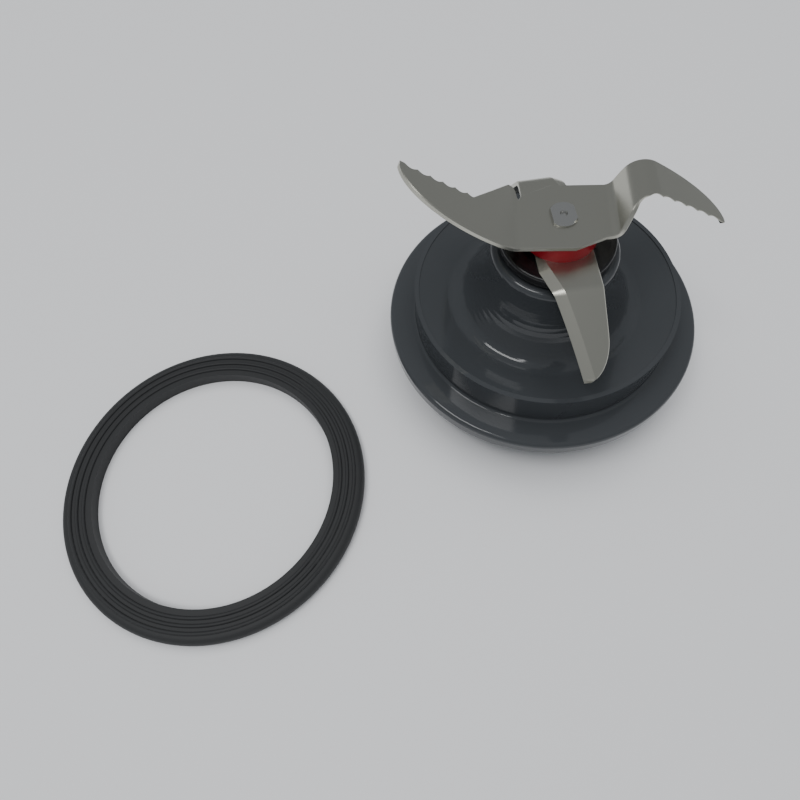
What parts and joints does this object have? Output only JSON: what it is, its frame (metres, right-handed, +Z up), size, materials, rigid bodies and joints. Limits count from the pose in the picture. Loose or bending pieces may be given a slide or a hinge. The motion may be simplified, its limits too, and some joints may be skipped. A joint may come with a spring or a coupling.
{
  "type": "blender blade assembly",
  "caption": "Dark grey moulded base with a domed bearing housing and a spindle that carries bent steel blades, its sealing ring lying beside it.",
  "frame": {"origin": "centre of the locating spigot's lower face, on the table under the spindle's axis", "axes": "+Z up along the spindle, +X along the upper blade's span, away from the sealing ring, +Y away from the camera"},
  "size_m": [0.2135, 0.1408, 0.0801],
  "materials": {
    "grey_moulding": "polished mould, dark grey",
    "black_cap": "moulded, black",
    "black_coupling": "moulded, black",
    "red_spacer": "moulded, deep red",
    "blade_steel": "rolled and stamped sheet, ground edges",
    "turned_steel": "turned",
    "zinc_plate": "zinc plated",
    "bronze": "sintered",
    "seal_rubber": "moulded, matt",
    "white_washer": "punched",
    "brass_insert": "turned"
  },
  "bodies": {
    "base_body": {"base": "grey_moulding", "bearing_sleeve": "turned_steel", "sleeve_o_ring": "seal_rubber", "sleeve_nut": "zinc_plate", "upper_bush": "bronze", "lower_bush": "bronze", "shaft_seal": "seal_rubber", "seal_keeper": "turned_steel", "sealing_ring": "seal_rubber"},
    "spindle_body": {"spindle": "turned_steel", "upper_thrust_washer": "white_washer", "lower_thrust_washer": "white_washer", "clip_washer": "zinc_plate", "retaining_clip": "zinc_plate", "cap": "black_cap", "lower_blade": "blade_steel", "spacer": "red_spacer", "upper_blade": "blade_steel", "drive_coupling": "black_coupling", "coupling_insert": "brass_insert", "lock_nut": "zinc_plate"}
  },
  "joints": [
    {"name": "blade_spin", "type": "hinge", "parent": "base_body", "child": "spindle_body", "pos_m": [0, 0, 0.035], "axis": [0, 0, 1], "continuous": true}
  ]
}
